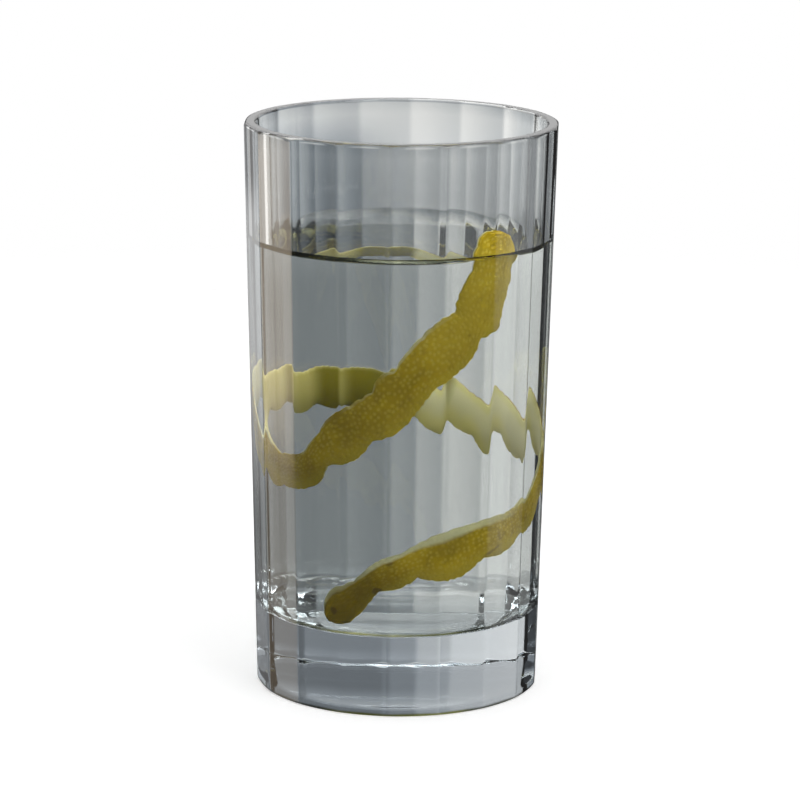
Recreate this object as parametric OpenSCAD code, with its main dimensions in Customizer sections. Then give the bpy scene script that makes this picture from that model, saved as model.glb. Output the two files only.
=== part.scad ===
// A pressed-glass highball tumbler with flat panels, served with water and one long curl of lemon peel.
// Millimetres, +Z up. The origin is the centre of the foot, on the table. The front is -Y.

/* [Tumbler] */
// Height from the table to the top of the lip
height = 146; // [120:0.5:180]
// Diameter at the lip, across the softened corners of the panels
rim_d = 80; // [70:0.5:95]
// Diameter at the foot, across the softened corners of the panels
foot_d = 72.8; // [62:0.2:80]
// Number of flat panels pressed round the outside
panels = 18; // [13:1:30]
// Rounding of both edges of the flat polished lip
rim_round = 0.8; // [0.4:0.1:1.2]
// How much each sharp corner between two panels is rounded back
corner_relief = 0.07; // [0.03:0.01:0.15]
// Turn of the panels about the axis
panel_turn = -3.3; // [-10:0.1:10]
// Wall thickness at the lip, across a corner
rim_wall = 3.3; // [2.4:0.1:4.5]
// Wall thickness just above the floor, across a corner
floor_wall = 4.2; // [3:0.1:6]
// Thickness of the solid glass base, up to the floor
base_thick = 19.5; // [12:0.5:30]
// Fillet between the floor and the inner wall
floor_fillet = 4.5; // [2:0.1:7]
// Rounding of the outer edge of the foot
foot_round = 1.1; // [0.5:0.1:2]
// Width of the flat ring that the foot stands on
foot_ring_w = 8; // [5:0.5:12]
// Depth of the dished underside
dish_depth = 1.2; // [0.5:0.1:2]

/* [Water] */
// Height of the flat water surface above the table
water_level = 115; // [95:0.5:130]
// Radius of the curve by which the water climbs the wall
meniscus_r = 2.2; // [1:0.1:3]

/* [Lemon peel] */
// Width of the curl where it is widest
peel_w = 15; // [9:0.5:16]
// Thickness of the yellow zest in the middle of the strip
zest_thick = 1.1; // [0.8:0.1:1.6]
// Thickness of the white pith in the middle of the strip
pith_thick = 1.9; // [1:0.1:2.5]
// Thickness of each of the two layers along the strip's knife-cut edges
edge_thick = 0.45; // [0.3:0.05:0.6]
// How far the strip's cut edges curl in from the wall
peel_crown = 0.9; // [0.4:0.1:1.4]
// Depth of the scallops that the knife leaves along the edges, as a share of half the width
scallop_share = 0.3; // [0:0.05:0.4]
// Film of water between the strip and the wall where they lie closest
wall_film = 0.9; // [0.6:0.1:1.5]
// Room left round the strip in the water's solid
peel_room = 0.35; // [0.31:0.02:0.45]

/* [Hidden] */
$fn = 96;
overrun = 2; // one overrun for every cut
meniscus_share = 0.88; // how much of the meniscus curve fits between the flat water and the wall

// The outer wall and the inner wall are two straight lines in the profile
rim_r = rim_d / 2;
foot_r = foot_d / 2;
outer_lean = atan((rim_r - foot_r) / height);
floor_r = foot_r + base_thick * tan(outer_lean) - floor_wall;
bore_r = rim_r - rim_wall;
inner_lean = atan((bore_r - floor_r) / (height - base_thick));
function wall_r(z) = floor_r + (z - base_thick) * tan(inner_lean);

// Centres of the two roundings of the lip
lip_z = height - rim_round;
lip_out_at = [rim_r - rim_round * (tan(outer_lean) + 1 / cos(outer_lean)), lip_z];
lip_in_at = [wall_r(lip_z) + rim_round / cos(inner_lean), lip_z];

// Centres of the rounded foot edge and of the floor's fillet
foot_at = [foot_r + foot_round * (tan(outer_lean) - 1 / cos(outer_lean)), foot_round];
fillet_at = [wall_r(base_thick + floor_fillet) - floor_fillet / cos(inner_lean),
             base_thick + floor_fillet];

// The dished underside is a shallow cap of a large ball
dish_r = foot_at[0] - foot_ring_w;
dish_ball_r = (dish_r ^ 2 + dish_depth ^ 2) / (2 * dish_depth);

// A panel's plane is tangent to the sharp corners' inner circle. The lip's outer rounding follows it.
foot_flat_r = (foot_r + corner_relief) * cos(180 / panels);
rim_flat_r = (rim_r + corner_relief) * cos(180 / panels);
panel_lean = atan((rim_flat_r - foot_flat_r) / height);
function panel_r(z) = foot_flat_r + (rim_flat_r - foot_flat_r) * z / height;
lip_lift_share = 0.05; // lifts a panel's rounding, so that it meets the flat of the lip at an angle
panel_lip_z = lip_z + rim_round * lip_lift_share;
panel_lip_at = [panel_r(panel_lip_z) - rim_round / cos(panel_lean), panel_lip_z];

// The curl's route, chosen by eye: [turn about the axis from the front, positive to the right,
// height as a share of the water's depth, half width as a share of half of peel_w,
// distance in from the wall as a share of peel_lie]. It runs from the top end to the foot end.
peel_lie = 5;
route_shares = [
    [  46.5, 1.070, 0.93, 0.02],
    [    39, 0.961, 0.92, 0.00],
    [    31, 0.845, 1.00, 0.00],
    [    16, 0.763, 0.91, 0.00],
    [     2, 0.675, 0.89, 0.00],
    [   -12, 0.588, 0.90, 0.00],
    [ -28.5, 0.520, 0.84, 0.02],
    [ -42.5, 0.439, 0.62, 0.08],
    [   -62, 0.417, 0.68, 0.25],
    [   -82, 0.440, 0.69, 0.50],
    [  -103, 0.498, 0.70, 0.55],
    [  -124, 0.550, 0.73, 0.32],
    [  -145, 0.563, 0.75, 0.16],
    [  -165, 0.573, 0.75, 0.08],
    [  -184, 0.550, 0.77, 0.08],
    [  -203, 0.491, 0.80, 0.12],
    [  -222, 0.439, 0.80, 0.16],
    [  -242, 0.412, 0.78, 0.24],
    [  -262, 0.372, 0.73, 0.24],
    [  -282, 0.318, 0.67, 0.12],
    [-300.5, 0.269, 0.65, 0.02],
    [  -319, 0.252, 0.78, 0.00],
    [  -337, 0.222, 0.87, 0.00],
    [  -355, 0.198, 0.66, 0.02],
    [-372.5, 0.145, 0.55, 0.12],
    [  -394, 0.038, 0.70, 0.50],
];
water_deep = water_level - base_thick;
steps_per_span = 5;
spans = len(route_shares) - 1;
rings = spans * steps_per_span;
end_rings_share = 0.02; // share of the strip over which each end rounds off
strip_flats = [-1, -0.5, 0, 0.5, 1]; // places across the strip, as shares of its half width

// A smooth curve through the route's stations
function station(i) = route_shares[min(max(i, 0), spans)];
function through(a, b, c, d, t) =
    ((2 * b) + (c - a) * t + (2 * a - 5 * b + 4 * c - d) * t ^ 2 + (3 * b - a - 3 * c + d) * t ^ 3) / 2;
function route(k) =
    let (i = max(min(floor(k / steps_per_span), spans - 1), 0), t = k / steps_per_span - i)
    through(station(i - 1), station(i), station(i + 1), station(i + 2), t);

// Each station as [turn in degrees, height in mm, half width in mm, distance in from the wall in mm]
function laid(k) =
    let (s = route(k))
    [s[0], base_thick + water_deep * s[1], peel_w / 2 * s[2], peel_lie * max(s[3], 0)];

// Half of an ellipse rounds each end of the strip
least_end_share = 0.4;
function end_shape(k) =
    let (from_end = max(min(k, rings - k), 0) / (rings * end_rings_share), x = min(from_end, 1))
    max(sqrt(1 - (1 - x) ^ 2), least_end_share);

// Where the knife's strokes meet along each edge, chosen by eye:
// [place along the strip in route stations, depth of the cut as a share of scallop_share]
lower_strokes = [
    [0, 0], [0.6, 0.8], [1.5, 0.3], [2.1, 1.2], [3.6, 0.5], [5.2, 1.1], [6.5, 1.7], [7.8, 0.8],
    [8.9, 1], [10.1, 0.8], [11.4, 1], [12.6, 0.7], [13.9, 1], [15.1, 0.9], [16.3, 1],
    [17.4, 0.8], [18.6, 1], [19.8, 1], [21.1, 0.8], [22.9, 1], [23.9, 1.1], [25, 0.6],
];
upper_strokes = [
    [0, 0], [1, 0.5], [2.1, 0.5], [3.9, 0.4], [4.5, 0.6], [6.2, 0.8], [8, 0.4],
    [10, 0.5], [12.3, 0.4], [14.5, 0.5], [16.8, 0.4], [19.3, 0.5], [21, 0.3], [23.1, 0.7],
    [24.2, 0.8], [25, 0],
];

// How far an edge is cut in at ring k: full where two strokes meet, nothing midway
function nick(k, strokes) =
    let (
        place = k / steps_per_span,
        stroke = lookup(place, [for (i = [0:len(strokes) - 1]) [strokes[i][0], i]]),
        off_middle = 2 * (stroke - floor(stroke)) - 1
    )
    lookup(place, strokes) * off_middle ^ 2;

// A point of the strip: ring k, place f across it from -1 to 1, and depth d below its outer face.
// Extra widens the strip.
function strip_point(k, f, d, extra = 0) =
    let (
        here = laid(k),
        ahead = laid(min(k + 0.5, rings)),
        behind = laid(max(k - 0.5, 0)),
        r = wall_r(here[1]),
        run = [(ahead[0] - behind[0]) * PI / 180 * r, ahead[1] - behind[1]],
        across = [-run[1], run[0]] / norm(run),
        cut = scallop_share * nick(k, f > 0 ? lower_strokes : upper_strokes),
        half = here[2] * end_shape(k) * (1 - cut * f ^ 2) + extra,
        turn = here[0] + across[0] * f * half / r * 180 / PI,
        z = here[1] + across[1] * f * half,
        in = wall_film + here[3] + peel_crown * f ^ 2 + d
    )
    [(wall_r(z) - in) * sin(turn), -(wall_r(z) - in) * cos(turn), z];

// Depth of a face between two layers at place f, from its depths at the middle and at the edges
function dip(f, middle, edge) = edge + (middle - edge) * (1 - f ^ 2);

// One closed ring of points: out along one face of a layer and back along the other
function layer_ring(k, outer, inner, extra = 0) =
    let (last = len(strip_flats) - 1)
    concat(
        [for (i = [0:last]) let (f = strip_flats[i]) strip_point(k, f, dip(f, outer[0], outer[1]), extra)],
        [for (i = [last:-1:0]) let (f = strip_flats[i]) strip_point(k, f, dip(f, inner[0], inner[1]), extra)]
    );

// Depths of the three faces at the middle and at the edges
outer_face = [0, 0];
bond_face = [zest_thick, edge_thick];
inner_face = [zest_thick + pith_thick, 2 * edge_thick];

// A closed skin over rings of points, with a fan at each end. The second half of each ring is
// split along the other diagonal, so that two layers share one bond face.
module skin(loops) {
    n = len(loops[0]);
    m = len(loops);
    points = [for (loop = loops) each loop];
    sides = [for (j = [0:m - 2], i = [0:n - 1])
        let (a = j * n + i, b = j * n + (i + 1) % n)
        each i < n / 2 - 1
            ? [[a, b, b + n], [a, b + n, a + n]]
            : [[a, b, a + n], [b, b + n, a + n]]];
    caps = concat(
        [for (i = [1:n - 2]) [0, i + 1, i]],
        [for (i = [1:n - 2]) [(m - 1) * n, (m - 1) * n + i, (m - 1) * n + i + 1]]
    );
    polyhedron(points = points, faces = concat(sides, caps), convexity = 10);
}

// The glass's own outline from the axis out, before the cavity and the dish are taken away
module body_profile() {
    polygon([
        [0, 0],
        [foot_at[0], 0],
        foot_at + foot_round * [cos(outer_lean), -sin(outer_lean)],
        lip_out_at + rim_round * [cos(outer_lean), -sin(outer_lean)],
        lip_out_at,
        [lip_out_at[0], height],
        [lip_in_at[0], height],
        lip_in_at,
        [0, lip_in_at[1]],
    ]);
    translate(foot_at) circle(foot_round);
    translate(lip_out_at) circle(rim_round);
    translate(lip_in_at) circle(rim_round);
}

// Half of the drinking space, from the axis out, up to a given height
module cavity_profile(top) {
    polygon([
        [0, base_thick],
        [fillet_at[0], base_thick],
        fillet_at + floor_fillet * [cos(inner_lean), -sin(inner_lean)],
        [wall_r(top), top],
        [0, top],
    ]);
    intersection() {
        translate(fillet_at) circle(floor_fillet);
        translate([fillet_at[0], base_thick]) square([floor_fillet, floor_fillet]);
    }
}

// What one panel takes off, seen along the panel: all outside its plane and its rounding at the lip
module panel_profile() {
    difference() {
        polygon([
            [panel_r(-overrun), -overrun],
            [rim_d, -overrun],
            [rim_d, height + overrun],
            [panel_lip_at[0], height + overrun],
            panel_lip_at,
            panel_lip_at + rim_round * [cos(panel_lean), -sin(panel_lean)],
        ]);
        translate(panel_lip_at) circle(rim_round);
    }
}

// Pressed glass: round inside, flat panels outside, dished under the foot
module tumbler() {
    color("lightsteelblue", 0.35)
    difference() {
        rotate_extrude() difference() {
            body_profile();
            cavity_profile(height + overrun);
            translate([0, dish_depth - dish_ball_r]) circle(dish_ball_r);
        }
        for (i = [0:panels - 1])
            rotate([0, 0, panel_turn + i * 360 / panels])
            rotate([90, 0, 0])
            linear_extrude(rim_r, center = true)
            panel_profile();
    }
}

// Water to its level, climbing the wall by surface tension, with the strip's room left free
module water() {
    climb_at = [
        wall_r(water_level + meniscus_r) - meniscus_r * meniscus_share,
        water_level + meniscus_r,
    ];
    color("aliceblue", 0.3)
    difference() {
        rotate_extrude() difference() {
            cavity_profile(water_level + meniscus_r);
            translate([0, water_level]) square([climb_at[0], meniscus_r + overrun]);
            translate(climb_at) circle(meniscus_r);
        }
        peel_space();
    }
}

// The strip with room all round, a little past its ends
end_room_rings = 0.2;
module peel_space() {
    room_ends = [-end_room_rings, rings + end_room_rings];
    stops = [room_ends[0], each [1:rings - 1], room_ends[1]];
    skin([for (k = stops) layer_ring(
        k,
        outer_face - [peel_room, peel_room],
        inner_face + [peel_room, peel_room],
        peel_room
    )]);
}

// The yellow outer skin of the strip
module lemon_zest() {
    color("goldenrod")
    skin([for (k = [0:rings]) layer_ring(k, outer_face, bond_face)]);
}

// The white inner layer, bonded to the zest
module lemon_pith() {
    color("lemonchiffon")
    skin([for (k = [0:rings]) layer_ring(k, bond_face, inner_face)]);
}

tumbler();
water();
lemon_zest();
lemon_pith();
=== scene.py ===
import math

import bpy
import numpy as np
from mathutils import Matrix, Vector
from mathutils.kdtree import KDTree


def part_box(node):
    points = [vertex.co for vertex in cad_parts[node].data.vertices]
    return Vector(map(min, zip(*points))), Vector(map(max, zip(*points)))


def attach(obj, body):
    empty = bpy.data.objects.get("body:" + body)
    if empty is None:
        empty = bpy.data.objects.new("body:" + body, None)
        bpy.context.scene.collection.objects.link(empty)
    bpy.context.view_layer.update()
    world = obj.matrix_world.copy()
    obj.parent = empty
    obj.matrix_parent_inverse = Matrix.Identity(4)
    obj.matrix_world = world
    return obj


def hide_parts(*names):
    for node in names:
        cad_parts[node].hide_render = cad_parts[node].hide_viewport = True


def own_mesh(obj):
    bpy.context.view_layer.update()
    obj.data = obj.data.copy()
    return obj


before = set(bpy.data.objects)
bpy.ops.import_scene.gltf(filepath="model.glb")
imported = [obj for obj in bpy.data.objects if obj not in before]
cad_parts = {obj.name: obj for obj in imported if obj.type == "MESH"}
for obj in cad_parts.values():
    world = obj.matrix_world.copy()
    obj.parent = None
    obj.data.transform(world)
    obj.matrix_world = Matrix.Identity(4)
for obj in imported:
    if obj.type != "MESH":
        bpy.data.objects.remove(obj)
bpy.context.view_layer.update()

mm = 0.001
# keeps a division away from zero
tiny = 0.0001
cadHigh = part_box("tumbler")[1]
print("frame loaded")


# A shader or geometry value. Sums written with it become Math nodes.
class Wire:
    def __init__(self, bench, socket):
        self.bench = bench
        self.socket = socket

    def calc(self, operation, *others):
        sockets = dict(enumerate((self, *others)))
        return self.bench.add("ShaderNodeMath", {"operation": operation}, sockets)

    def flipped(self, operation, other):
        return self.bench.add("ShaderNodeMath", {"operation": operation}, {0: other, 1: self})

    def __add__(self, other):
        return self.calc("ADD", other)

    def __sub__(self, other):
        return self.calc("SUBTRACT", other)

    def __rsub__(self, other):
        return self.flipped("SUBTRACT", other)

    def __mul__(self, other):
        return self.calc("MULTIPLY", other)

    def __truediv__(self, other):
        return self.calc("DIVIDE", other)

    def __rtruediv__(self, other):
        return self.flipped("DIVIDE", other)


# A node tree under construction
class Bench:
    def __init__(self, tree):
        self.tree = tree

    # Adds one node: its settings first, then its sockets by number or name
    def add(self, nodeType, settings=None, sockets=None, output=0):
        node = self.tree.nodes.new(nodeType)
        for key, value in (settings or {}).items():
            setattr(node, key, value)
        for key, value in (sockets or {}).items():
            self.feed(node.inputs[key], value)
        return Wire(self, node.outputs[output])

    def feed(self, target, value):
        if isinstance(value, Wire):
            self.tree.links.new(value.socket, target)
        else:
            target.default_value = value

    def also(self, wire, output):
        return Wire(self, wire.socket.node.outputs[output])

    def mix(self, factor, first, second):
        sockets = {"Factor": factor, "A": first, "B": second}
        return self.add("ShaderNodeMix", {"data_type": "RGBA"}, sockets, "Result")

    # Start below low, end above high and a smooth step between; low may be the greater of the two
    def spread(self, value, low, high, start=0.0, end=1.0):
        return self.add(
            "ShaderNodeMapRange",
            {"interpolation_type": "SMOOTHSTEP"},
            {"Value": value, "From Min": low, "From Max": high, "To Min": start, "To Max": end},
        )

    # Full where both fades are
    def between(self, value, first, second):
        return self.spread(value, *first) * self.spread(value, *second)

    def place(self):
        return self.add("ShaderNodeTexCoord", {}, {}, "Object")

    def parts(self, vector, *names):
        first = self.add("ShaderNodeSeparateXYZ", {}, {0: vector})
        return [self.also(first, name) for name in names]

    def attribute(self, name):
        return self.add("ShaderNodeAttribute", {"attribute_name": name}, {}, "Fac")

    def noise(self, place, scale, detail):
        sockets = {"Vector": place, "Scale": scale, "Detail": detail}
        return self.add("ShaderNodeTexNoise", {}, sockets)

    def bump(self, height, strength, distance):
        sockets = {"Strength": strength, "Distance": distance, "Height": height}
        return self.add("ShaderNodeBump", {}, sockets)

    # Whether a ray comes from the camera, was mirrored or has passed a clear piece
    def rays(self):
        first = self.add("ShaderNodeLightPath")
        kinds = ("Is Camera Ray", "Is Glossy Ray", "Is Transmission Ray")
        return [self.also(first, kind) for kind in kinds]


def newMaterial(name):
    material = bpy.data.materials.new(name)
    material.use_nodes = True
    material.node_tree.nodes.clear()
    bench = Bench(material.node_tree)
    output = material.node_tree.nodes.new("ShaderNodeOutputMaterial")
    return material, bench, output


def rgba(red, green, blue):
    return (red, green, blue, 1.0)


black = rgba(0.0, 0.0, 0.0)
white = rgba(1.0, 1.0, 1.0)


def smoothed(mesh):
    mesh.polygons.foreach_set("use_smooth", [True] * len(mesh.polygons))
    mesh.update()


def meshFrom(name, points, faces):
    mesh = bpy.data.meshes.new(name)
    mesh.from_pydata([tuple(p) for p in points], [], [tuple(int(i) for i in f) for f in faces])
    mesh.validate()
    smoothed(mesh)
    piece = bpy.data.objects.new(name, mesh)
    bpy.context.scene.collection.objects.link(piece)
    return piece


def pointValues(piece, name, values):
    attribute = piece.data.attributes.new(name, "FLOAT", "POINT")
    attribute.data.foreach_set("value", values.astype(np.float32))


# The faces between two rings of a skin
def band(low, high, count):
    ahead = [(i + 1) % count for i in range(count)]
    return [(low + i, low + n, high + n, high + i) for i, n in enumerate(ahead)]


# Camera: fitted to the outline of the glass, tipped half a degree as the picture is.
# Lens and sensor are in millimetres.
camera = {
    "distance": 956 * mm,
    "height": 292.9 * mm,
    "aside": 0.17 * mm,
    "pitchDeg": 12.92,
    "rollDeg": 0.53,
    "lens": 172.06,
    "sensor": 36.0,
    "clipStart": 10 * mm,
}


def makeCamera(c):
    data = bpy.data.cameras.new("studioCamera")
    data.lens = c["lens"]
    data.sensor_width = c["sensor"]
    data.clip_start = c["clipStart"]
    seat = bpy.data.objects.new("studioCamera", data)
    turn = Matrix.Rotation(math.radians(90 - c["pitchDeg"]), 4, "X")
    roll = Matrix.Rotation(math.radians(c["rollDeg"]), 4, "Z")
    stand = Matrix.Translation((c["aside"], -c["distance"], c["height"]))
    seat.matrix_world = stand @ turn @ roll
    bpy.context.scene.collection.objects.link(seat)
    bpy.context.scene.camera = seat
    print("camera made")


# Studio: a white floor and a soft key light. What shows or falls away over a stretch is a pair
# of places here and below: where a fade begins and where it ends.
studio = {
    "keyPower": 5.0,
    "keySize": 0.7,
    "keyPlace": (0.75, -0.85, 1.25),
    "floorTone": 0.86,
    "floorLift": 0.42,
    "floorFade": (0.32, 0.62),
    "floorMargin": 1.1,
    "grainScale": 40.0,
    "grainDepth": 0.02,
}

# The room that the glass shows, by the direction of a ray: x to the right, y away and z up.
# A pair says where a part of the room fades in. Two more numbers are its share before and after.
room = {
    "ambient": 0.72,
    # seen through the glass: a grey table, paler to the left, a strip of wall behind it,
    # grey sides, and a near side that is dim below and bright above
    "tableDark": 0.38,
    "tablePale": 1.18,
    "tableTurnDeg": (11, -28),
    "skyZ": (0.0, 0.08),
    "skyShare": (0.72, 0.66),
    "lowTopZ": (-0.262, -0.28),
    "lowFootZ": (-0.6, -0.45),
    "lowShare": 0.7,
    "cornerTurnDeg": (24, 32),
    "cornerZ": (0.02, -0.02),
    "cornerLift": -0.12,
    "wallFootZ": (-0.18, -0.15),
    "wallTopZ": (0.06, 0.0),
    "wallLift": 0.34,
    "sideAhead": (0.4, 0.0),
    "sideMiddle": 0.72,
    "sideSlope": 0.36,
    "overheadZ": (0.3, 0.7),
    "overhead": 0.95,
    "nearAhead": (0.2, -0.15),
    "nearZ": (0.28, 0.55),
    "nearLow": 0.1,
    "nearHigh": 6.0,
    "nearSlope": 6.1,
    "tintLevels": (0.3, 1.0),
    "coolTint": rgba(0.93, 0.985, 1.03),
    "warmTint": rgba(1.0, 0.995, 0.975),
    # mirrored by the outside of the glass
    "mirrorZ": (0.15, 0.75),
    "mirrorLow": 0.1,
    "mirrorHigh": 2.2,
    "rightX": (0.86, 0.98),
    "rightLift": 0.8,
    "flankX": (-0.7, -0.85),
    "flankY": (-0.2, 0.1),
    "flankTopZ": (-0.178, -0.188, 0.35, 1.0),
    "flankFootZ": (-0.275, -0.25, 0.4, 1.0),
    "flankLift": 2.2,
    "flankTint": rgba(1.08, 0.9, 0.7),
    "backdropY": (0.6, 0.85),
    "backdropZ": (0.05, 0.15),
    "backdropLift": 0.9,
    "leftEdgeX": (-0.25, -0.45),
    "leftEdgeY": (0.65, 0.8),
    "leftEdgeTopZ": (-0.176, -0.19, 0.45, 1.0),
    "leftEdgeFootZ": (-0.268, -0.215, 0.2, 1.0),
    "leftEdgeLift": 1.3,
}


def radiansOf(degrees):
    return [math.radians(d) for d in degrees]


def seenThroughGlass(bench, r, x, y, z):
    turn = x.calc("ARCTAN2", y)
    ahead = y / (x * x + y * y).calc("SQRT").calc("MAXIMUM", tiny)
    across = bench.spread(turn, *radiansOf(r["tableTurnDeg"]))
    level = across * (r["tablePale"] - r["tableDark"]) + r["tableDark"]
    skyShare = across * (r["skyShare"][1] - r["skyShare"][0]) + (r["skyShare"][0] - 1)
    level = level * (bench.spread(z, *r["skyZ"]) * skyShare + 1)
    # the rays that pass the base meet the nearer, darker part of the table
    lowDown = bench.between(z, r["lowTopZ"], r["lowFootZ"])
    level = level * (lowDown * (r["lowShare"] - 1) + 1)
    corner = bench.spread(turn, *radiansOf(r["cornerTurnDeg"]))
    level = level + corner * bench.spread(z, *r["cornerZ"]) * r["cornerLift"]
    level = level + bench.between(z, r["wallFootZ"], r["wallTopZ"]) * r["wallLift"]
    sides = bench.spread(ahead, *r["sideAhead"])
    level = level + sides * (x * r["sideSlope"] + r["sideMiddle"] - level)
    level = level + bench.spread(z, *r["overheadZ"]) * (r["overhead"] - level)
    near = x * r["nearSlope"] + (r["nearHigh"] - r["nearLow"])
    near = bench.spread(z, *r["nearZ"]) * near.calc("MAXIMUM", 0.0) + r["nearLow"]
    return level + bench.spread(ahead, *r["nearAhead"]) * (near - level)


# Gives the light, and the share of it that comes from the warm wall on the left
def mirroredByGlass(bench, r, x, y, z):
    level = bench.spread(z, *r["mirrorZ"]) * (r["mirrorHigh"] - r["mirrorLow"])
    level = level + bench.spread(x, *r["rightX"]) * r["rightLift"] + r["mirrorLow"]
    onFlank = bench.spread(y, *r["flankY"]) * bench.spread(x, *r["flankX"])
    level = level + onFlank * bench.between(z, r["flankTopZ"], r["flankFootZ"]) * r["flankLift"]
    # only the top of the lip mirrors the backdrop
    backdrop = bench.spread(y, *r["backdropY"]) * bench.spread(z, *r["backdropZ"])
    level = level + backdrop * r["backdropLift"]
    leftEdge = bench.spread(y, *r["leftEdgeY"]) * bench.spread(x, *r["leftEdgeX"])
    leftEdge = leftEdge * bench.between(z, r["leftEdgeTopZ"], r["leftEdgeFootZ"])
    return level + leftEdge * r["leftEdgeLift"], onFlank


def makeWorld(r):
    world = bpy.data.worlds.new("paleStudio")
    bpy.context.scene.world = world
    world.use_nodes = True
    world.node_tree.nodes.clear()
    bench = Bench(world.node_tree)
    direction = bench.add("ShaderNodeTexCoord", {}, {}, "Generated")
    x, y, z = bench.parts(direction, "X", "Y", "Z")
    seenThrough = seenThroughGlass(bench, r, x, y, z)
    mirrored, onFlank = mirroredByGlass(bench, r, x, y, z)
    isCamera, isGlossy, isThrough = bench.rays()
    level = mirrored * isGlossy * (1 - isThrough) + seenThrough * isThrough
    rest = (1 - isGlossy) * (1 - isThrough)
    level = level + rest * r["ambient"]
    level = isCamera + (1 - isCamera) * level
    pale = bench.spread(seenThrough, *r["tintLevels"])
    throughTint = bench.mix(pale, r["coolTint"], r["warmTint"])
    mirrorTint = bench.mix(onFlank * isGlossy, white, r["flankTint"])
    tint = bench.mix(isThrough, mirrorTint, throughTint)
    background = bench.add("ShaderNodeBackground", {}, {"Color": tint, "Strength": level})
    output = world.node_tree.nodes.new("ShaderNodeOutputWorld")
    bench.feed(output.inputs["Surface"], background)


# The floor takes shadows, fades out round the glass and is left out of what the glass shows
def floorMaterial(s):
    material, bench, output = newMaterial("paleFloor")
    place = bench.place()
    reach = bench.add("ShaderNodeVectorMath", {"operation": "LENGTH"}, {0: place}, "Value")
    grain = bench.noise(place, s["grainScale"], 4.0)
    tone = grain * s["grainDepth"] + (s["floorTone"] - s["grainDepth"] / 2)
    paint = bench.add("ShaderNodeCombineColor", {}, {"Red": tone, "Green": tone, "Blue": tone})
    matt = bench.add("ShaderNodeBsdfDiffuse", {}, {"Color": paint})
    isCamera, isGlossy, isThrough = bench.rays()
    glowColour = bench.mix(isCamera, black, white)
    glow = bench.add("ShaderNodeEmission", {}, {"Color": glowColour, "Strength": s["floorLift"]})
    lit = bench.add("ShaderNodeAddShader", {}, {0: matt, 1: glow})
    clear = bench.add("ShaderNodeBsdfTransparent")
    away = bench.spread(reach, *s["floorFade"])
    gone = away.calc("MAXIMUM", isGlossy.calc("MAXIMUM", isThrough))
    shader = bench.add("ShaderNodeMixShader", {}, {0: gone, 1: lit, 2: clear})
    bench.feed(output.inputs["Surface"], shader)
    return material


# A graded scrim behind the mouth of the glass, which only light that has passed the glass meets.
# It dims what is behind it at the left, glows at the right and hangs lower at the far left.
scrimShape = {
    "back": 50 * mm,
    "half": 120 * mm,
    "low": 109 * mm,
    "high": 180 * mm,
    "hem": 5 * mm,
    "drop": 17 * mm,
    "dropX": (-30 * mm, -45 * mm),
    "shadeRightX": (8 * mm, -20 * mm),
    "shadeLeftX": (-118 * mm, -105 * mm),
    "farX": (-50 * mm, -60 * mm),
    "tint": rgba(0.6, 0.64, 0.69),
    "farTint": rgba(0.38, 0.38, 0.38),
    "glowLeftX": (-16 * mm, 10 * mm),
    "glowRightX": (60 * mm, 44 * mm),
    "glow": 0.22,
    "topZ": (142 * mm, 130 * mm, 0.35, 1.0),
}


def makeScrim(s):
    material, bench, output = newMaterial("gradedScrim")
    place = bench.place()
    x, z = bench.parts(place, "X", "Z")
    shade = bench.between(x, s["shadeLeftX"], s["shadeRightX"])
    glow = bench.between(x, s["glowLeftX"], s["glowRightX"]) * s["glow"]
    isThrough = bench.rays()[2]
    hung = z + bench.spread(x, *s["dropX"]) * s["drop"]
    lit = bench.spread(hung, s["low"], s["low"] + s["hem"]) * isThrough
    lit = lit * bench.spread(z, *s["topZ"])
    clear = bench.add("ShaderNodeBsdfTransparent")
    nearDim = bench.add("ShaderNodeBsdfTransparent", {}, {"Color": s["tint"]})
    farDim = bench.add("ShaderNodeBsdfTransparent", {}, {"Color": s["farTint"]})
    far = bench.spread(x, *s["farX"])
    dim = bench.add("ShaderNodeMixShader", {}, {0: far, 1: nearDim, 2: farDim})
    glowColour = bench.mix(glow * lit, black, white)
    scrimLight = bench.add("ShaderNodeEmission", {}, {"Color": glowColour, "Strength": 1.0})
    shader = bench.add("ShaderNodeMixShader", {}, {0: shade * lit, 1: clear, 2: dim})
    shader = bench.add("ShaderNodeAddShader", {}, {0: shader, 1: scrimLight})
    bench.feed(output.inputs["Surface"], shader)
    half, back, high = s["half"], s["back"], s["high"]
    low = s["low"] - s["drop"]
    corners = [(-half, back, low), (half, back, low), (half, back, high), (-half, back, high)]
    scrim = meshFrom("scrim", corners, [(0, 1, 2, 3)])
    scrim.data.materials.append(material)


def makeStudio(s):
    half = s["floorFade"][1] * s["floorMargin"]
    corners = [(-half, -half, 0), (half, -half, 0), (half, half, 0), (-half, half, 0)]
    floor = meshFrom("floor", corners, [(0, 1, 2, 3)])
    floor.data.materials.append(floorMaterial(s))
    data = bpy.data.lights.new("softKey", "AREA")
    data.energy = s["keyPower"]
    data.size = s["keySize"]
    key = bpy.data.objects.new("softKey", data)
    aim = Vector((0, 0, cadHigh.z / 2)) - Vector(s["keyPlace"])
    towards = aim.to_track_quat("-Z", "Y").to_matrix().to_4x4()
    key.matrix_world = Matrix.Translation(s["keyPlace"]) @ towards
    bpy.context.scene.collection.objects.link(key)
    bpy.context.scene.view_settings.view_transform = "Standard"
    print("studio made")


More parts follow.
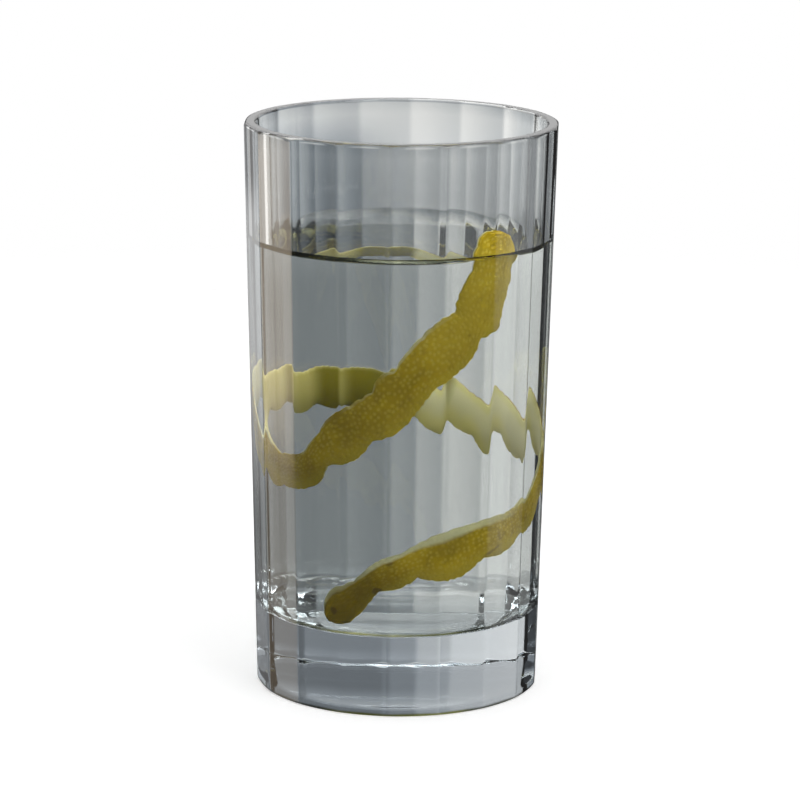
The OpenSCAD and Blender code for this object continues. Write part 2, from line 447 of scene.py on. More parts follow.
# Tumbler: a round drinking space, flat pressed panels outside and a thick base
tumblerShape = {
    "height": cadHigh.z,
    "rimRadius": 40 * mm,
    "footRadius": 36.4 * mm,
    "panels": 18,
    "turnDeg": -3.3,
    "cornerRelief": 0.07 * mm,
    "softness": 0.12 * mm,
    "lipRoundness": 0.8,
    "rimWall": 3.3 * mm,
    "rimRound": 0.8 * mm,
    "floorWall": 4.2 * mm,
    "baseThick": 19.5 * mm,
    "floorFillet": 4.5 * mm,
    "footRound": 1.1 * mm,
    "footRing": 8 * mm,
    "dishDepth": 1.2 * mm,
    # the outline's stops lie closer together by the foot and the lip
    "byFoot": 3 * mm,
    "byLip": 4 * mm,
    "lipFade": (1.0 * mm, 0.15 * mm),
    # where the columns of one half panel lie, as shares of a panel
    "columns": (0.0, 0.11, 0.22, 0.32, 0.4, 0.44, 0.461, 0.472, 0.481, 0.491),
}


# Leans, radii and centres worked out from the tumbler's sizes
def tumblerPlan(t):
    height, rim, foot = t["height"], t["rimRadius"], t["footRadius"]
    outer = math.atan((rim - foot) / height)
    floorRadius = foot + t["baseThick"] * math.tan(outer) - t["floorWall"]
    bore = rim - t["rimWall"]
    inner = math.atan((bore - floorRadius) / (height - t["baseThick"]))
    lip = t["rimRound"]
    lipZ = height - lip
    lipIn = floorRadius + (lipZ - t["baseThick"]) * math.tan(inner) + lip / math.cos(inner)
    footX = foot + t["footRound"] * (math.tan(outer) - 1 / math.cos(outer))
    filletRise = t["floorFillet"]
    filletX = floorRadius + filletRise * math.tan(inner) - filletRise / math.cos(inner)
    halfPanel = math.pi / t["panels"]
    return {
        "outer": outer,
        "inner": inner,
        "floorRadius": floorRadius,
        "lipOut": (rim - lip * (math.tan(outer) + 1 / math.cos(outer)), lipZ),
        "lipIn": (lipIn, lipZ),
        "footAt": (footX, t["footRound"]),
        "filletAt": (filletX, t["baseThick"] + filletRise),
        "footFlat": (foot + t["cornerRelief"]) * math.cos(halfPanel),
        "rimFlat": (rim + t["cornerRelief"]) * math.cos(halfPanel),
    }


plan = tumblerPlan(tumblerShape)


def wallRadius(z):
    return plan["floorRadius"] + (z - tumblerShape["baseThick"]) * math.tan(plan["inner"])


def arc(centre, radius, start, end, steps):
    turns = np.linspace(start, end, steps + 1)
    x, y = centre
    return [(x + radius * math.cos(a), y + radius * math.sin(a)) for a in turns]


def line(start, end, steps):
    (x, y), (endX, endY) = start, end
    return [(x + (endX - x) * s, y + (endY - y) * s) for s in np.linspace(0, 1, steps + 1)]


# The point of a rounded corner where it meets a wall that leans
def cornerEnd(centre, radius, lean):
    return (centre[0] + radius * math.cos(lean), centre[1] - radius * math.sin(lean))


# The outline of half the glass: from the middle of the dish out, up, over the lip and down
# inside. The last number of a stretch is how many steps it takes.
def tumblerOutline(t, p):
    ringIn = p["footAt"][0] - t["footRing"]
    ball = (ringIn ** 2 + t["dishDepth"] ** 2) / (2 * t["dishDepth"])
    sweep = math.asin(ringIn / ball)
    lip = t["rimRound"]
    lipStart = cornerEnd(p["lipOut"], lip, p["outer"])
    footEnd = cornerEnd(p["footAt"], t["footRound"], p["outer"])
    bendStart = cornerEnd(p["filletAt"], t["floorFillet"], p["inner"])
    lean = math.tan(p["outer"])
    nearLip = (lipStart[0] - t["byLip"] * lean, lipStart[1] - t["byLip"])
    nearFoot = (footEnd[0] + t["byFoot"] * lean, footEnd[1] + t["byFoot"])
    right = math.pi / 2
    stretches = [
        arc((0, t["dishDepth"] - ball), ball, right, right - sweep, 10),
        line((ringIn, 0), (p["footAt"][0], 0), 5),
        arc(p["footAt"], t["footRound"], -right, -p["outer"], 12),
        line(footEnd, nearFoot, 8),
        line(nearFoot, nearLip, 34),
        line(nearLip, lipStart, 24),
        arc(p["lipOut"], lip, -p["outer"], right, 16),
        line((p["lipOut"][0], t["height"]), (p["lipIn"][0], t["height"]), 6),
        arc(p["lipIn"], lip, right, math.pi - p["inner"], 16),
        line(wallSpot(t["height"] - lip), bendStart, 40),
        arc(p["filletAt"], t["floorFillet"], -p["inner"], -right, 16),
        line((p["filletAt"][0], t["baseThick"]), (0, t["baseThick"]), 14),
    ]
    outline = [stretches[0][0]]
    for stretch in stretches:
        outline += stretch[1:]
    return outline[1:-1], outline[0][1], outline[-1][1]


def wallSpot(z):
    return (wallRadius(z), z)


# Columns lie close together where two panels meet
def panelColumns(t):
    step = 360 / t["panels"]
    half = [c * step for c in t["columns"]]
    columns = [-p for p in reversed(half[1:])] + half + [step / 2]
    turns = [t["turnDeg"] + k * step + c for k in range(t["panels"]) for c in columns]
    return np.radians(np.array(turns))


# A closed skin of revolution over an outline, with a point at each pole
def revolve(name, outline, lowZ, highZ, turns):
    count = len(turns)
    points = [(0, 0, lowZ)]
    for r, z in outline:
        points += [(r * math.cos(a), r * math.sin(a), z) for a in turns]
    points.append((0, 0, highZ))
    last = len(points) - 1
    faces = [(0, 1 + (i + 1) % count, 1 + i) for i in range(count)]
    for j in range(len(outline) - 1):
        low, high = 1 + j * count, 1 + (j + 1) * count
        faces += band(low, high, count)
    top = 1 + (len(outline) - 1) * count
    faces += [(top + i, top + (i + 1) % count, last) for i in range(count)]
    return meshFrom(name, points, faces)


# Geometry Nodes press the flat panels into the revolved blank
def panelTree(material, lipFade):
    tree = bpy.data.node_groups.new("pressPanels", "GeometryNodeTree")
    interface = tree.interface
    interface.new_socket("Geometry", in_out="INPUT", socket_type="NodeSocketGeometry")
    sizes = (
        "Panels", "Turn", "Foot Flat", "Rim Flat", "Height", "Foot Radius", "Rim Radius",
        "Rim Wall", "Rim Round", "Softness", "Lip Roundness",
    )
    for size in sizes:
        interface.new_socket(size, in_out="INPUT", socket_type="NodeSocketFloat")
    interface.new_socket("Geometry", in_out="OUTPUT", socket_type="NodeSocketGeometry")
    bench = Bench(tree)
    start = tree.nodes.new("NodeGroupInput")
    given = {socket.name: Wire(bench, socket) for socket in start.outputs if socket.name}
    place = bench.add("GeometryNodeInputPosition")
    x, y, z = bench.parts(place, "X", "Y", "Z")
    angle = y.calc("ARCTAN2", x)
    sector = 2 * math.pi / given["Panels"]
    within = (angle - given["Turn"]).calc("WRAP", sector * 0.5, sector * -0.5)
    radius = (x * x + y * y).calc("SQRT")
    rise = z.calc("MINIMUM", given["Height"] - given["Rim Round"]) / given["Height"]
    flat = given["Foot Flat"] + (given["Rim Flat"] - given["Foot Flat"]) * rise
    plane = flat / within.calc("COSINE")
    softness = given["Softness"]
    pressed = radius.calc("SMOOTH_MIN", plane, softness)
    # by the lip the whole outer edge moves in with the panel
    wall = given["Foot Radius"] + (given["Rim Radius"] - given["Foot Radius"]) * rise
    step = wall.calc("SMOOTH_MIN", plane, softness) - wall
    # the fire-polished lip is nearly round
    atLip = bench.spread(given["Height"] - z, *lipFade) * given["Lip Roundness"]
    step = step + atLip * ((given["Rim Flat"] - given["Rim Radius"]) * 0.5 - step)
    # the step fades out from a quarter to three quarters of the way through the wall
    outward = (radius - wall) / given["Rim Wall"] * 2 + 1.5
    outward = outward.calc("MAXIMUM", 0.0).calc("MINIMUM", 1.0)
    upper = rise.calc("GREATER_THAN", 0.5)
    pressed = pressed + upper * (radius + step * outward - pressed)
    shrink = pressed / radius.calc("MAXIMUM", tiny)
    moved = bench.add("ShaderNodeCombineXYZ", {}, {0: x * shrink, 1: y * shrink, 2: z})
    sockets = {0: radius, 1: 1 * mm}
    offAxis = bench.add("FunctionNodeCompare", {"operation": "GREATER_THAN"}, sockets)
    sockets = {"Geometry": given["Geometry"], "Selection": offAxis, "Position": moved}
    made = bench.add("GeometryNodeSetPosition", {}, sockets)
    made = bench.add("GeometryNodeRealizeInstances", {}, {0: made})
    made = bench.add("GeometryNodeSetMaterial", {}, {"Geometry": made, "Material": material})
    end = tree.nodes.new("NodeGroupOutput")
    bench.feed(end.inputs[0], made)
    return tree


# Runs a tree on an object and leaves a plain mesh
def runTree(piece, tree, values):
    modifier = piece.modifiers.new("made", "NODES")
    modifier.node_group = tree
    for item in tree.interface.items_tree:
        if item.in_out == "INPUT" and item.name in values:
            modifier[item.identifier] = values[item.name]
    deps = bpy.context.evaluated_depsgraph_get()
    made = bpy.data.meshes.new_from_object(piece.evaluated_get(deps))
    piece.modifiers.remove(modifier)
    old = piece.data
    piece.data = made
    bpy.data.meshes.remove(old)
    made.name = piece.name
    smoothed(made)
    return piece


smokedGlass = {
    "wallColour": rgba(0.772, 0.782, 0.776),
    "depthColour": rgba(0.36, 0.45, 0.55),
    "depthPerMetre": 9.0,
    "index": 1.5,
    "filmScale": 60.0,
    "filmLevels": (0.62, 0.9),
    "roughness": (0.0, 0.03),
    "rippleScale": 110.0,
    "rippleStrength": 0.05,
    "rippleDepth": 0.1 * mm,
    # painted shade: the near edge of the foot is painted as a thin dark line, olive in the middle,
    # standing in for the dark table contact that the rounded foot shows
    "footPaintedShade": rgba(0.02, 0.022, 0.01),
    "footPaintedOlive": rgba(0.2, 0.19, 0.01),
    "footShadeZ": (1.2 * mm, 0.5 * mm),
    "footShadeY": (2 * mm, -6 * mm),
    "oliveLeftX": (-20 * mm, -12 * mm),
    "oliveRightX": (20 * mm, 12 * mm),
}


def glassMaterial(g):
    material, bench, output = newMaterial("smokedGlass")
    place = bench.place()
    film = bench.noise(place, g["filmScale"], 5.0)
    ripple = bench.noise(place, g["rippleScale"], 1.0)
    x, y, z = bench.parts(place, "X", "Y", "Z")
    # painted shade: the thin dark line along the near edge of the foot, olive in the middle
    middle = bench.between(x, g["oliveLeftX"], g["oliveRightX"])
    paintedFootShade = bench.mix(middle, g["footPaintedShade"], g["footPaintedOlive"])
    foot = bench.spread(z, *g["footShadeZ"]) * bench.spread(y, *g["footShadeY"])
    surface = bench.add(
        "ShaderNodeBsdfPrincipled",
        {},
        {
            "Base Color": bench.mix(foot, g["wallColour"], paintedFootShade),
            "Roughness": bench.spread(film, *g["filmLevels"], *g["roughness"]),
            "IOR": g["index"],
            "Transmission Weight": 1.0,
            "Normal": bench.bump(ripple, g["rippleStrength"], g["rippleDepth"]),
        },
    )
    sockets = {"Color": g["depthColour"], "Density": g["depthPerMetre"]}
    depth = bench.add("ShaderNodeVolumeAbsorption", {}, sockets)
    bench.feed(output.inputs["Surface"], surface)
    bench.feed(output.inputs["Volume"], depth)
    return material


def makeTumbler(t, p):
    material = glassMaterial(smokedGlass)
    outline, low, high = tumblerOutline(t, p)
    blank = revolve("tumbler_glass", outline, low, high, panelColumns(t))
    blank.data.materials.append(material)
    values = {
        "Panels": float(t["panels"]),
        "Turn": math.radians(t["turnDeg"]),
        "Foot Flat": p["footFlat"],
        "Rim Flat": p["rimFlat"],
        "Height": t["height"],
        "Foot Radius": t["footRadius"],
        "Rim Radius": t["rimRadius"],
        "Rim Wall": t["rimWall"],
        "Rim Round": t["rimRound"],
        "Softness": t["softness"],
        "Lip Roundness": t["lipRoundness"],
    }
    tumbler = runTree(blank, panelTree(material, t["lipFade"]), values)
    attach(tumbler, "glass")
    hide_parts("tumbler")
    print("tumbler made:", len(tumbler.data.polygons), "faces")


# Lemon peel: its route runs from the top end to the foot end, each stop given as
# [turn from the front in degrees, height as a share of the water's depth,
# half width as a share, way in as a share]
peelShape = {
    "width": 15 * mm,
    "zest": 1.1 * mm,
    "pith": 1.9 * mm,
    "edge": 0.45 * mm,
    "crown": 0.9 * mm,
    "scallop": 0.3,
    "torn": 0.08,
    "tears": 320,
    "tearSeed": 5,
    "film": 0.9 * mm,
    "lie": 5 * mm,
    "ringsPerStop": 5,
    "rings": 760,
    "across": 18,
    "endShare": 0.02,
    "leastEnd": 0.4,
}
peelRoute = [
    (46.5, 1.070, 0.93, 0.02),
    (39, 0.961, 0.92, 0.00),
    (31, 0.845, 1.00, 0.00),
    (16, 0.763, 0.91, 0.00),
    (2, 0.675, 0.89, 0.00),
    (-12, 0.588, 0.90, 0.00),
    (-28.5, 0.520, 0.84, 0.02),
    (-42.5, 0.439, 0.62, 0.08),
    (-62, 0.417, 0.68, 0.25),
    (-82, 0.440, 0.69, 0.50),
    (-103, 0.498, 0.70, 0.55),
    (-124, 0.550, 0.73, 0.32),
    (-145, 0.563, 0.75, 0.16),
    (-165, 0.573, 0.75, 0.08),
    (-184, 0.550, 0.77, 0.08),
    (-203, 0.491, 0.80, 0.12),
    (-222, 0.439, 0.80, 0.16),
    (-242, 0.412, 0.78, 0.24),
    (-262, 0.372, 0.73, 0.24),
    (-282, 0.318, 0.67, 0.12),
    (-300.5, 0.269, 0.65, 0.02),
    (-319, 0.252, 0.78, 0.00),
    (-337, 0.222, 0.87, 0.00),
    (-355, 0.198, 0.66, 0.02),
    (-372.5, 0.145, 0.55, 0.12),
    (-394, 0.038, 0.70, 0.50),
]
# Where the knife's strokes meet along each edge:
# [place in route stops, depth as a share of the scallop]
lowerStrokes = [
    (0, 0), (0.6, 0.8), (1.5, 0.3), (2.1, 1.2), (3.6, 0.5), (5.2, 1.1), (6.5, 1.7), (7.8, 0.8),
    (8.9, 1), (10.1, 0.8), (11.4, 1), (12.6, 0.7), (13.9, 1), (15.1, 0.9), (16.3, 1),
    (17.4, 0.8), (18.6, 1), (19.8, 1), (21.1, 0.8), (22.9, 1), (23.9, 1.1), (25, 0.6),
]
upperStrokes = [
    (0, 0), (1, 0.5), (2.1, 0.5), (3.9, 0.4), (4.5, 0.6), (6.2, 0.8), (8, 0.4),
    (10, 0.5), (12.3, 0.4), (14.5, 0.5), (16.8, 0.4), (19.3, 0.5), (21, 0.3), (23.1, 0.7),
    (24.2, 0.8), (25, 0),
]
# Water: its level stands here because the peel's heights are shares of its depth
waterShape = {
    "level": 115 * mm,
    "climb": 2.2 * mm,
    "climbReach": 2.0 * mm,
    "peelClimb": 1.5 * mm,
    "peelReach": 1.2 * mm,
    "overlap": 0.15 * mm,
    "columnCount": 360,
    "surfaceStops": 46,
    "surfaceCrowding": 2.2,
    "axisGap": 0.5 * mm,
    "sharpDeg": 40,
}


# A smooth curve through the route's stops, as rows of [turn, height, half width, way in].
# Rings are counted from the top end by k, which need not be whole.
def peelTrack(route, k):
    stops = np.array(route, float)
    last = len(stops) - 1
    place = k / peelShape["ringsPerStop"]
    span = np.clip(np.floor(place).astype(int), 0, last - 1)
    t = (place - span)[:, None]
    a, b, c, d = (stops[np.clip(span + i, 0, last)] for i in (-1, 0, 1, 2))
    bend, twist = 2 * a - 5 * b + 4 * c - d, 3 * b - a - 3 * c + d
    track = (2 * b + (c - a) * t + bend * t ** 2 + twist * t ** 3) / 2
    base = tumblerShape["baseThick"]
    deep = waterShape["level"] - base
    return np.column_stack([
        np.radians(track[:, 0]),
        base + deep * track[:, 1],
        peelShape["width"] / 2 * track[:, 2],
        peelShape["lie"] * np.maximum(track[:, 3], 0),
    ])


# How far one edge is cut in at ring k: full where two strokes meet, nothing midway
def nick(k, strokes):
    place, depth = np.array(strokes, float).T
    here = k / peelShape["ringsPerStop"]
    stroke = np.interp(here, place, np.arange(len(place)))
    return np.interp(here, place, depth) * (2 * (stroke - np.floor(stroke)) - 1) ** 2


# Small tears along both edges, about a millimetre apart
tears = np.random.default_rng(peelShape["tearSeed"]).random((2, peelShape["tears"])) ** 2
peelEnd = float(peelShape["ringsPerStop"] * (len(peelRoute) - 1))


# Points of the strip: ring numbers k, places f across it, depth below its outer face
def peelPoints(k, f, depth):
    s = peelShape
    here = peelTrack(peelRoute, k)
    ahead = peelTrack(peelRoute, np.minimum(k + 0.5, peelEnd))
    behind = peelTrack(peelRoute, np.maximum(k - 0.5, 0))
    fromEnd = np.minimum(np.minimum(k, peelEnd - k) / (peelEnd * s["endShare"]), 1)
    ends = np.maximum(np.sqrt(1 - (1 - fromEnd) ** 2), s["leastEnd"])
    cut = s["scallop"] * np.where(f > 0, nick(k, lowerStrokes), nick(k, upperStrokes))
    spots = np.linspace(0, peelEnd, s["tears"])
    lowerTears, upperTears = np.interp(k, spots, tears[0]), np.interp(k, spots, tears[1])
    cut = cut + s["torn"] * np.where(f > 0, lowerTears, upperTears)
    radius = wallRadius(here[:, 1])
    run = np.column_stack([(ahead[:, 0] - behind[:, 0]) * radius, ahead[:, 1] - behind[:, 1]])
    run /= np.linalg.norm(run, axis=1)[:, None]
    half = here[:, 2] * ends * (1 - cut * f ** 2)
    turn = here[:, 0] - run[:, 1] * f * half / radius
    z = here[:, 1] + run[:, 0] * f * half
    inward = s["film"] + here[:, 3] + s["crown"] * f ** 2 + depth
    r = wallRadius(z) - inward
    return np.column_stack([r * np.sin(turn), -r * np.cos(turn), z])


# A depth that runs from the middle of the strip to its edges
def dip(f, middle, edge):
    return edge + (middle - edge) * (1 - f ** 2)


# One layer of the strip as a closed skin. Two attributes say how far across each point lies,
# from -1 at the upper edge to 1 at the lower, and at which ring it lies along the strip.
def peelLayer(name, outer, inner):
    s = peelShape
    rings = np.linspace(0, peelEnd, s["rings"] + 1)
    across = np.sin(np.linspace(-1, 1, s["across"] + 1) * math.pi / 2)
    places = np.concatenate([across, across[::-1]])
    depths = np.concatenate([dip(across, *outer), dip(across[::-1], *inner)])
    count = len(places)
    k = np.repeat(rings, count)
    f = np.tile(places, len(rings))
    points = peelPoints(k, f, np.tile(depths, len(rings)))
    faces = []
    for j in range(len(rings) - 1):
        low, high = j * count, (j + 1) * count
        faces += band(low, high, count)
    faces.append(tuple(range(count))[::-1])
    top = (len(rings) - 1) * count
    faces.append(tuple(top + i for i in range(count)))
    piece = meshFrom(name, points, faces)
    pointValues(piece, "across", f)
    pointValues(piece, "along", k)
    return piece


lemonRind = {
    "deep": rgba(0.46, 0.312, 0.005),
    "ripe": rgba(0.76, 0.53, 0.013),
    "mottle": rgba(0.34, 0.23, 0.004),
    "gland": rgba(0.92, 0.7, 0.09),
    "smooth": rgba(0.93, 0.69, 0.06),
    "bevel": rgba(0.9, 0.88, 0.5),
    "nick": rgba(0.2, 0.12, 0.01),
    "index": 1.07,
    "roughness": 0.42,
    # the pattern of glands, on a plane of [rings, share of the half width]
    "gridAlong": 2.25,
    "gridAcross": 7,
    "glandScale": 0.68,
    "glandOrder": 0.7,
    "glandSize": (0.12, 0.46, 1.0, 0.0),
    "pitStrength": 0.5,
    "pitDepth": 0.15 * mm,
    # scales of the patterns, and how far each shows
    "blotchScale": 380.0,
    "blotchLevels": (0.5, 0.62),
    "blotchShare": 0.4,
    "cloudScale": 75.0,
    "cloudLevels": (0.35, 0.65),
    "patchScale": 26.0,
    "patchReach": 2.4,
    "smoothAcross": (-0.1, 0.9),
    "smoothShare": 0.8,
    "glandLevels": (0.3, 0.6, 0.25, 0.6),
    "speckScale": 210.0,
    "speckLevels": (0.77, 0.81),
    "speckShare": 0.6,
    # stretches along the strip, in rings from the top end
    "lightFrom": (1, 5),
    "lightTo": (20, 12),
    "lightShare": 0.6,
    "frontFrom": (14, 26),
    "frontTo": (60, 50),
    "frontShare": 0.18,
    "footFrom": (114, 123),
    "footShare": 0.75,
    # the slanted cut along the upper edge
    "wander": 0.3,
    "bevelAcross": (-0.6, -0.84),
    "bevelFrom": (96, 108),
    "bevelFade": (119, 122, 1.0, 0.6),
    "tornAcross": (-0.84, -0.95),
    "tornFrom": (8, 14),
    "tornLevels": (0.35, 0.6),
    "bevelShare": 0.9,
    "rimAcross": (0.86, 1.0),
    "rimShare": 0.4,
}
lemonPith = {
    "lowerYellow": rgba(1.0, 0.89, 0.32),
    "paleHighlight": rgba(0.88, 0.82, 0.45),
    "edge": rgba(0.86, 0.79, 0.32),
    "sandShade": rgba(0.44, 0.37, 0.09),
    "shaded": rgba(0.2, 0.165, 0.008),
    "index": 1.07,
    "roughness": 0.6,
    "fibreScale": 160.0,
    "fibreReach": 0.5,
    "fibreStrength": 0.4,
    "fibreDepth": 0.2 * mm,
    "gridAlong": 2.25,
    "gridAcross": 5,
    "foldScale": 0.11,
    "foldReach": 1.1,
    "lowerAcross": (-0.35, 0.95),
    "edgeAcross": (-0.6, -0.85),
    "edgeShare": 0.7,
    # stretches along the strip, in rings from the top end
    # painted shade on the stretch behind at the left
    "shadeBehindTo": (71.5, 68.5),
    "shadeBehindAcross": (-1.0, -0.82, 0.65, 1.0),
    "sandFrom": (46, 55),
    "sandShare": 0.9,
    "shadedFrom": (61, 65),
}


# Waxy rind with round glands. A pale slanted cut along the upper edge shows the pith beside it.
def zestMaterial(c):
    material, bench, output = newMaterial("lemonZest")
    place = bench.place()
    across = bench.attribute("across")
    along = bench.attribute("along")
    sockets = {0: along * c["gridAlong"], 1: across * c["gridAcross"]}
    onSkin = bench.add("ShaderNodeCombineXYZ", {}, sockets)
    gland = bench.add(
        "ShaderNodeTexVoronoi",
        {"feature": "F1", "voronoi_dimensions": "2D"},
        {"Vector": onSkin, "Scale": c["glandScale"], "Randomness": c["glandOrder"]},
    )
    dots = bench.spread(gland, *c["glandSize"])
    blotch = bench.noise(place, c["blotchScale"], 2.0)
    cloud = bench.noise(place, c["cloudScale"], 3.0)
    patch = bench.noise(place, c["patchScale"], 1.0)
    cloudy = bench.spread(cloud, *c["cloudLevels"])
    # glands stand out on the upper side, the lower side is smooth
    smooth = bench.spread(across + (patch - 0.5) * c["patchReach"], *c["smoothAcross"])
    smooth = smooth * c["smoothShare"]
    skin = bench.mix(cloudy, c["deep"], c["ripe"])
    skin = bench.mix(bench.spread(blotch, *c["blotchLevels"]) * c["blotchShare"], skin, c["mottle"])
    light = bench.between(along, c["lightFrom"], c["lightTo"]) * c["lightShare"]
    skin = bench.mix(smooth.calc("MAXIMUM", light), skin, c["smooth"])
    glands = dots * (1 - smooth) * bench.spread(cloud, *c["glandLevels"])
    skin = bench.mix(glands, skin, c["gland"])
    front = bench.between(along, c["frontFrom"], c["frontTo"]) * c["frontShare"]
    skin = bench.mix(front, skin, c["smooth"])
    skin = bench.mix(bench.spread(along, *c["footFrom"]) * c["footShare"], skin, c["mottle"])
    speck = bench.noise(place, c["speckScale"], 0.0)
    skin = bench.mix(bench.spread(speck, *c["speckLevels"]) * c["speckShare"], skin, c["nick"])
    edge = across + (cloud - 0.5) * c["wander"]
    bevel = bench.spread(edge, *c["bevelAcross"]) * bench.spread(along, *c["bevelFrom"])
    bevel = bevel * bench.spread(along, *c["bevelFade"])
    torn = bench.spread(edge, *c["tornAcross"]) * bench.spread(along, *c["tornFrom"])
    torn = torn * bench.spread(cloud, *c["tornLevels"])
    skin = bench.mix(bevel.calc("MAXIMUM", torn) * c["bevelShare"], skin, c["bevel"])
    skin = bench.mix(bench.spread(across, *c["rimAcross"]) * c["rimShare"], skin, c["smooth"])
    surface = bench.add(
        "ShaderNodeBsdfPrincipled",
        {},
        {
            "Base Color": skin,
            "Roughness": c["roughness"],
            "IOR": c["index"],
            "Normal": bench.bump(dots, c["pitStrength"], c["pitDepth"]),
        },
    )
    bench.feed(output.inputs["Surface"], surface)
    return material


# Pale along the upper part, a painted highlight that wanders with the folds; yellower towards the
# lower edge, where the rind shines through
def pithMaterial(c):
    material, bench, output = newMaterial("lemonPith")
    across = bench.attribute("across")
    along = bench.attribute("along")
    fibre = bench.noise(bench.place(), c["fibreScale"], 6.0)
    sockets = {0: along * c["gridAlong"], 1: across * c["gridAcross"]}
    onFlesh = bench.add("ShaderNodeCombineXYZ", {}, sockets)
    fold = bench.noise(onFlesh, c["foldScale"], 1.0)
    # painted highlight: the pale colour over the upper part and along the folds
    lower = across + (fold - 0.5) * c["foldReach"] + (fibre - 0.5) * c["fibreReach"]
    flesh = bench.mix(bench.spread(lower, *c["lowerAcross"]), c["paleHighlight"], c["lowerYellow"])
    flesh = bench.mix(bench.spread(across, *c["edgeAcross"]) * c["edgeShare"], flesh, c["edge"])
    # painted shade on the stretch behind at the left: sandy, then dark shaded colours, a little
    # less of it along the upper edge
    paintedShadeBehind = bench.spread(along, *c["shadeBehindTo"]) * bench.spread(across, *c["shadeBehindAcross"])
    sandyShade = paintedShadeBehind * bench.spread(along, *c["sandFrom"]) * c["sandShare"]
    flesh = bench.mix(sandyShade, flesh, c["sandShade"])
    flesh = bench.mix(paintedShadeBehind * bench.spread(along, *c["shadedFrom"]), flesh, c["shaded"])
    surface = bench.add(
        "ShaderNodeBsdfPrincipled",
        {},
        {
            "Base Color": flesh,
            "Roughness": c["roughness"],
            "IOR": c["index"],
            "Normal": bench.bump(fibre, c["fibreStrength"], c["fibreDepth"]),
        },
    )
    bench.feed(output.inputs["Surface"], surface)
    return material


def makePeel():
    s = peelShape
    bond = (s["zest"], s["edge"])
    zest = peelLayer("lemon_zest_skin", (0.0, 0.0), bond)
    pith = peelLayer("lemon_pith_layer", bond, (s["zest"] + s["pith"], 2 * s["edge"]))
    zest.data.materials.append(zestMaterial(lemonRind))
    pith.data.materials.append(pithMaterial(lemonPith))
    for piece, node in ((zest, "lemon_zest"), (pith, "lemon_pith")):
        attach(piece, "peel")
        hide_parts(node)
    print("peel made:", len(zest.data.polygons) + len(pith.data.polygons), "faces")
    return zest, pith


stillWater = {
    "colour": rgba(0.97, 0.985, 0.98),
    "depthColour": rgba(0.75, 0.9, 0.88),
    "depthPerMetre": 1.2,
    "index": 1.333,
    "rippleScale": 70.0,
    "rippleStrength": 0.04,
    "rippleDepth": 0.1 * mm,
    # where the water climbs the near wall a dark line of painted shade stands for the steep
    # meniscus, double in the middle and partly olive there:
    # heights over the level, turns from the front in radians and how near the wall it is
    "contactFrom": 0.9 * mm,
    "contactPaintedShade": rgba(0.03, 0.033, 0.015),
    "contactPaintedOlive": rgba(0.5, 0.49, 0.25),
    "contactSoft": (0.0, 0.15 * mm),
    "contactByWall": (0.1, 0.25),
    "contactNear": (-6 * mm, -14 * mm),
    "waver": 0.6 * mm,
    "peelTurn": ((0.25, 0.4), (0.95, 0.85)),
    "peelRaise": 0.6 * mm,
    "oliveHeight": ((0.3 * mm, 0.45 * mm), (1.1 * mm, 0.95 * mm)),
    "oliveTurn": ((-0.3, -0.1), (0.9, 0.7)),
}


def waterMaterial(w):
    material, bench, output = newMaterial("stillWater")
    place = bench.place()
    ripple = bench.noise(place, w["rippleScale"], 1.0)
    byWall = bench.attribute("byWall")
    x, y, z = bench.parts(place, "X", "Y", "Z")
    turn = x.calc("ARCTAN2", y * -1)
    # painted shade: a dark line where the water meets the near wall
    climb = z - (waterShape["level"] + w["contactFrom"]) + (ripple - 0.5) * w["waver"]
    raised = climb - bench.between(turn, *w["peelTurn"]) * w["peelRaise"]
    contact = bench.spread(raised, *w["contactSoft"]) * bench.spread(byWall, *w["contactByWall"])
    contact = contact * bench.spread(y, *w["contactNear"])
    middle = bench.between(climb, *w["oliveHeight"]) * bench.between(turn, *w["oliveTurn"])
    paintedContactLine = bench.mix(middle, w["contactPaintedShade"], w["contactPaintedOlive"])
    surface = bench.add(
        "ShaderNodeBsdfPrincipled",
        {},
        {
            "Base Color": bench.mix(contact, w["colour"], paintedContactLine),
            "Roughness": 0.0,
            "IOR": w["index"],
            "Transmission Weight": 1.0,
            "Normal": bench.bump(ripple, w["rippleStrength"], w["rippleDepth"]),
        },
    )
    sockets = {"Color": w["depthColour"], "Density": w["depthPerMetre"]}
    depth = bench.add("ShaderNodeVolumeAbsorption", {}, sockets)
    bench.feed(output.inputs["Surface"], surface)
    bench.feed(output.inputs["Volume"], depth)
    return material


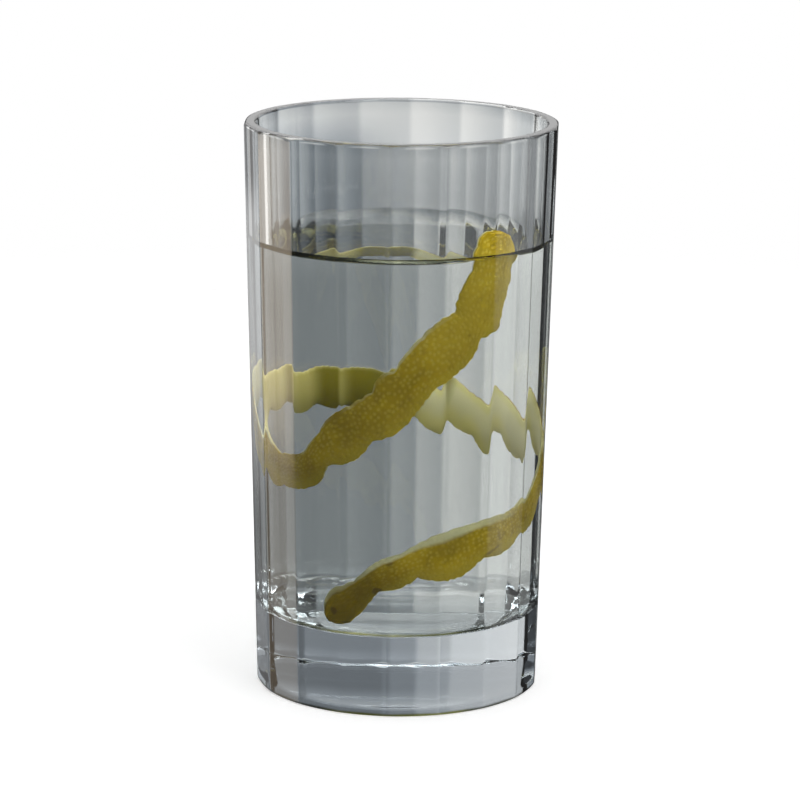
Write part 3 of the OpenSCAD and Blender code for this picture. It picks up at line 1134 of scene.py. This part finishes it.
# The water fills the drinking space and reaches a hair into the glass, so that no film of air
# shows between them. Its surface climbs the wall and the peel.
def makeWater(w, t, p, zest, pith):
    over = w["overlap"]
    base = t["baseThick"]
    turns = np.linspace(0, 2 * math.pi, w["columnCount"] + 1)[:-1]
    bend = p["filletAt"]
    side = wallSpot(w["level"] + w["climb"])
    bottom = line((0, base - over), (bend[0], base - over), 10)[1:]
    fillet = arc(bend, t["floorFillet"] + over, -math.pi / 2, -p["inner"], 14)[1:]
    wall = line(fillet[-1], (side[0] + over, side[1]), 40)[1:]
    # the stops of the surface lie close together by the wall
    away = side[0] * (1 - np.linspace(0, 1, w["surfaceStops"]) ** w["surfaceCrowding"])
    outline = bottom + fillet + wall
    surface = [(float(r), w["level"]) for r in away[:-1] if r > w["axisGap"]]
    piece = revolve("drink_water", outline + surface, base - over, w["level"], turns)
    co = np.array([v.co for v in piece.data.vertices], float)
    top = np.arange(1 + len(outline) * len(turns), len(co))
    radius = np.hypot(co[top, 0], co[top, 1])
    rise = w["climb"] * np.exp((radius - side[0]) / w["climbReach"])
    skin = [v.co for layer in (zest, pith) for v in layer.data.vertices]
    near = [spot for spot in skin if abs(spot.z - w["level"]) < w["peelReach"]]
    tree = KDTree(len(near))
    for i, spot in enumerate(near):
        tree.insert((spot.x, spot.y, 0), i)
    tree.balance()
    gap = np.array([tree.find((x, y, 0))[2] for x, y in co[top, :2]])
    rise = np.maximum(rise, w["peelClimb"] * np.exp(-gap / w["climbReach"]))
    co[top, 2] = w["level"] + rise
    piece.data.vertices.foreach_set("co", co.ravel())
    byWall = np.ones(len(co))
    byWall[top] = np.exp((radius - side[0]) / w["climbReach"])
    pointValues(piece, "byWall", byWall)
    piece.data.set_sharp_from_angle(angle=math.radians(w["sharpDeg"]))
    piece.data.update()
    piece.data.materials.append(waterMaterial(stillWater))
    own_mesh(piece)
    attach(piece, "glass")
    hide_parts("water")
    print("water made:", len(piece.data.polygons), "faces")


makeCamera(camera)
makeWorld(room)
makeScrim(scrimShape)
makeStudio(studio)
makeTumbler(tumblerShape, plan)
zestPiece, pithPiece = makePeel()
makeWater(waterShape, tumblerShape, plan, zestPiece, pithPiece)
